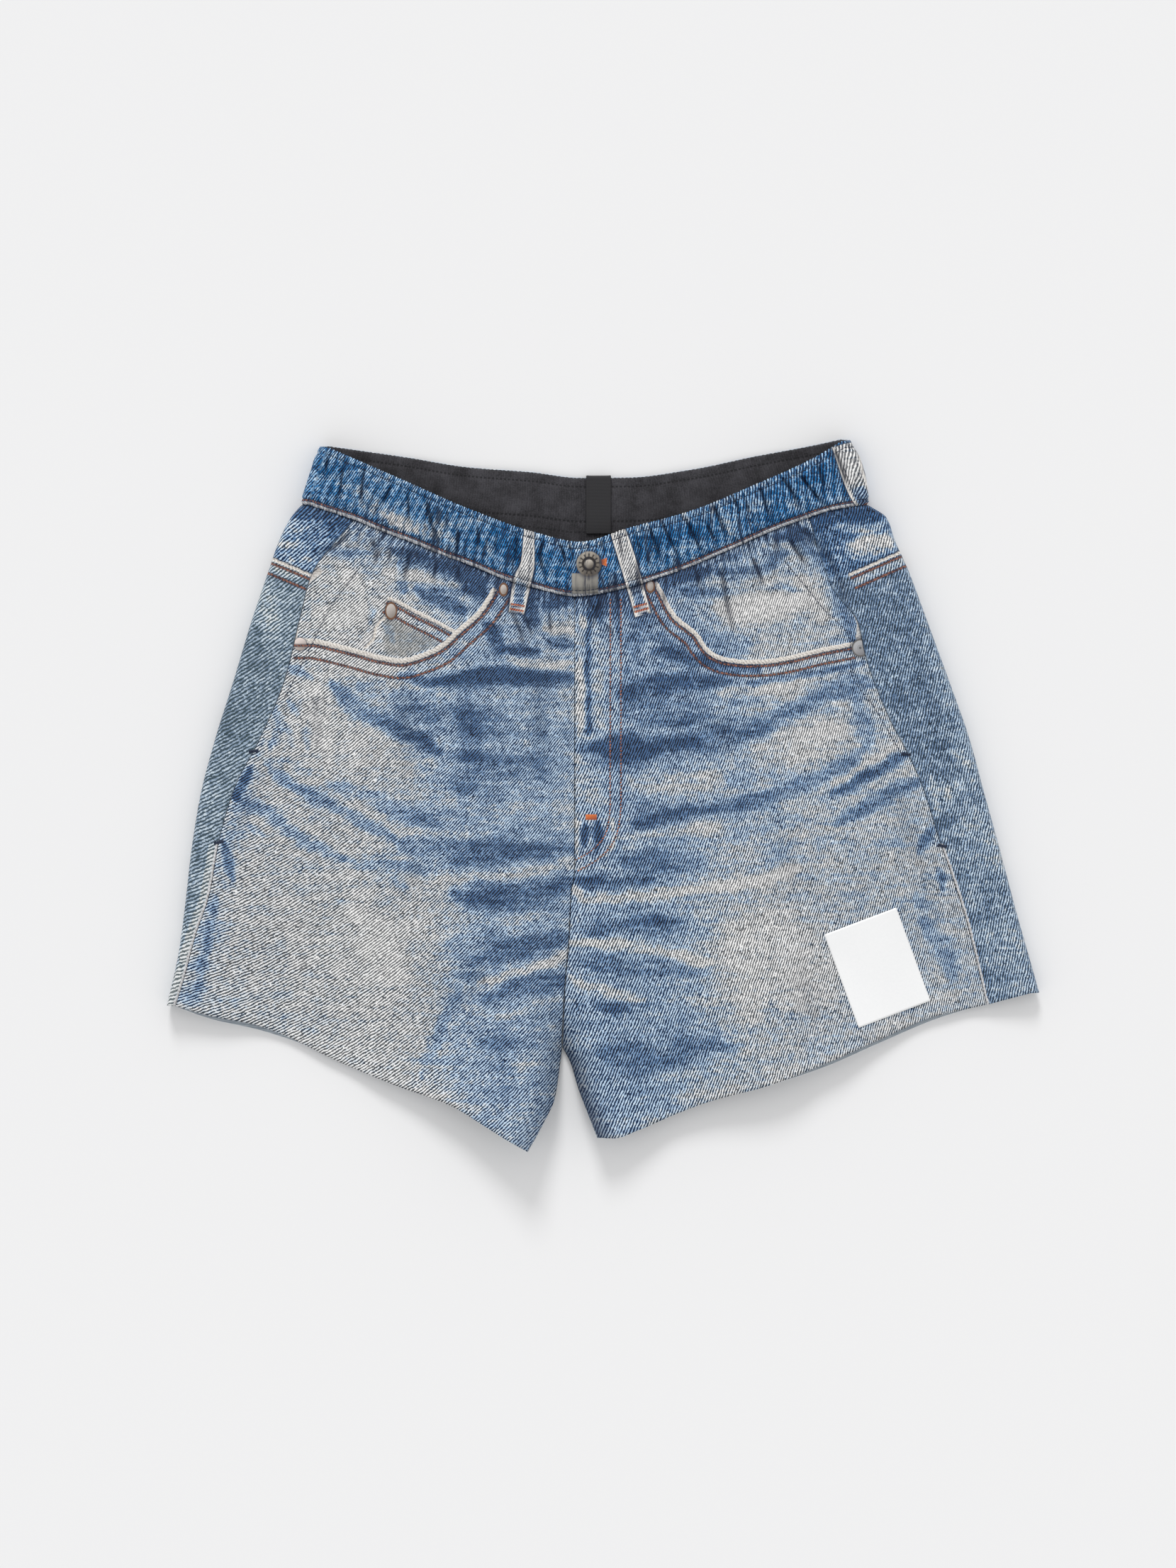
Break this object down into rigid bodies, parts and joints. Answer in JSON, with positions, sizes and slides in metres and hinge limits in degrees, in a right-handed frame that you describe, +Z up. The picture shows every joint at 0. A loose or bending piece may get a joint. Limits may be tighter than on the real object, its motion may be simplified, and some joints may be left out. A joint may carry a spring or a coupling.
{
  "type": "athletic shorts",
  "caption": "Athletic shorts with a gathered elastic waist, side-seam pockets and raw-cut hems, laid flat on their back.",
  "frame": {"origin": "on the table, under the middle of the part's box", "axes": "+X towards the wearer's left side, +Y towards the waist, +Z up from the table to the front panels"},
  "size_m": [0.528, 0.4303, 0.0305],
  "materials": {
    "front_shell": "matt technical shell cloth printed all over as faded blue denim",
    "back_shell": "matt technical shell cloth printed all over as faded blue denim",
    "waistband_shell": "matt ruched shell cloth printed as indigo denim",
    "elastic_lining": "brushed charcoal elastic",
    "pocket_cloth": "thin matt pocketing",
    "tab_woven": "black woven tab, bare",
    "label_coated": "white coated label, bare"
  },
  "bodies": {
    "root": {"front_right": "front_shell", "front_left": "front_shell", "back_right": "back_shell", "back_left": "back_shell", "waistband": "waistband_shell", "waistband_lining": "elastic_lining", "pocket_bag_right": "pocket_cloth", "pocket_bag_left": "pocket_cloth", "inner_tab": "tab_woven", "leg_label": "label_coated"}
  },
  "joints": []
}
